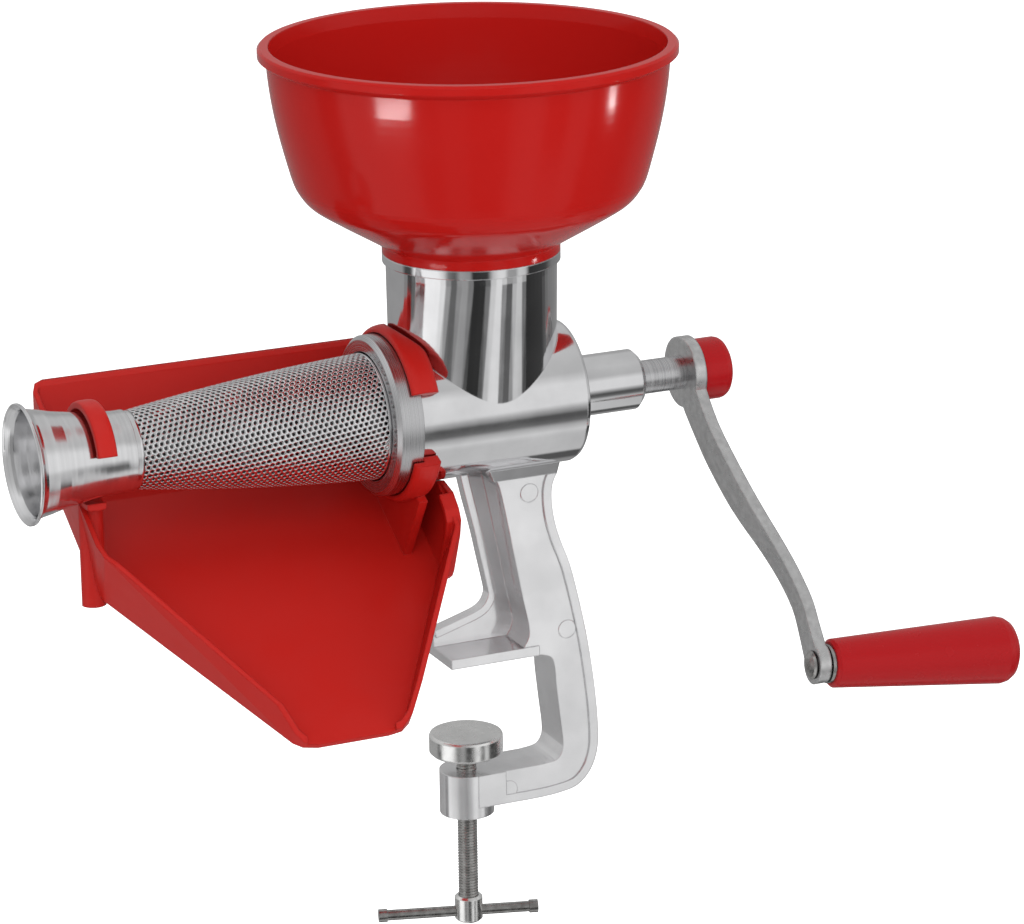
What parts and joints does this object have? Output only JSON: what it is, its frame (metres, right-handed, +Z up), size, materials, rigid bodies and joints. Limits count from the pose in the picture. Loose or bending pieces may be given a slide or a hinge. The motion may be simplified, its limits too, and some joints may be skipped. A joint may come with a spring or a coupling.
{
  "type": "tomato strainer with crank",
  "caption": "Hand cranked tomato strainer: cast body with table clamp, hopper, perforated cone with feed screw, waste horn and sloping drip tray.",
  "frame": {"origin": "underside of the jaw plate, straight above the axis of the clamp screw", "axes": "+X along the feed screw towards the crank, +Y away from the user, +Z up; -Z is the normal of the jaw face"},
  "size_m": [0.4686, 0.229, 0.4477],
  "materials": {
    "casting": "polished casting",
    "red_shell": "glossy red",
    "red_grip": "glossy red",
    "sieve": "bright perforated sheet",
    "satin_steel": "satin",
    "screw_steel": "bright plated",
    "feed_plastic": "dark grey food plastic",
    "bush": "plain bearing plastic",
    "seal": "black rubber"
  },
  "bodies": {
    "frame": {"body_casting": "casting", "clamp_frame": "casting", "shaft_bush": "bush", "shaft_seal": "seal", "thrust_washer": "bush", "bayonet_pins": "screw_steel", "filter_gasket": "seal", "filter_cone": "sieve", "waste_horn": "satin_steel"},
    "collar": {"filter_collar": "satin_steel"},
    "bowl": {"hopper": "red_shell"},
    "crank": {"auger": "feed_plastic", "auger_shaft": "satin_steel", "crank_arm": "casting", "crank_washer": "screw_steel", "crank_knob": "red_grip", "knob_stud": "screw_steel", "grip_spindle": "screw_steel", "grip_washer": "screw_steel"},
    "handle": {"grip": "red_grip"},
    "pad": {"pressure_pad": "screw_steel", "pad_retainer": "screw_steel"},
    "screw": {"clamp_screw": "screw_steel", "screw_head": "screw_steel", "head_pin": "screw_steel"},
    "bar": {"tommy_bar": "screw_steel", "bar_ends": "screw_steel"},
    "tray": {"drip_tray": "red_shell"}
  },
  "joints": [
    {"name": "crank_turn", "type": "hinge", "parent": "frame", "child": "crank", "pos_m": [0.007, 0, 0.131], "axis": [1, 0, 0], "continuous": true},
    {"name": "grip_spin", "type": "hinge", "parent": "crank", "child": "handle", "pos_m": [0.137, -0.10661, 0.00836], "axis": [0.9962, -0.0572, -0.0658], "continuous": true},
    {"name": "collar_turn", "type": "hinge", "parent": "frame", "child": "collar", "pos_m": [-0.04, 0, 0.131], "axis": [1, 0, 0], "range_deg": [-25, 0]},
    {"name": "hopper_lift", "type": "slide", "parent": "frame", "child": "bowl", "axis": [0, 0, 1], "range_m": [0, 0.012]},
    {"name": "screw_travel", "type": "slide", "parent": "frame", "child": "pad", "axis": [0, 0, 1], "range_m": [-0.008, 0.039]},
    {"name": "screw_turn", "type": "hinge", "parent": "pad", "child": "screw", "pos_m": [0, 0, -0.1], "axis": [0, 0, 1], "range_deg": [-1921, 9361]},
    {"name": "bar_slide", "type": "slide", "parent": "screw", "child": "bar", "axis": [0.9563, -0.2924, 0], "range_m": [-0.023, 0.033]},
    {"name": "tray_swing", "type": "hinge", "parent": "frame", "child": "tray", "pos_m": [-0.1, 0, 0.131], "axis": [1, 0, 0], "range_deg": [-2.5, 2]}
  ],
  "couplings": [
    {"joint": "screw_turn", "follows": "screw_travel", "rad_per_m": 4188.8}
  ]
}
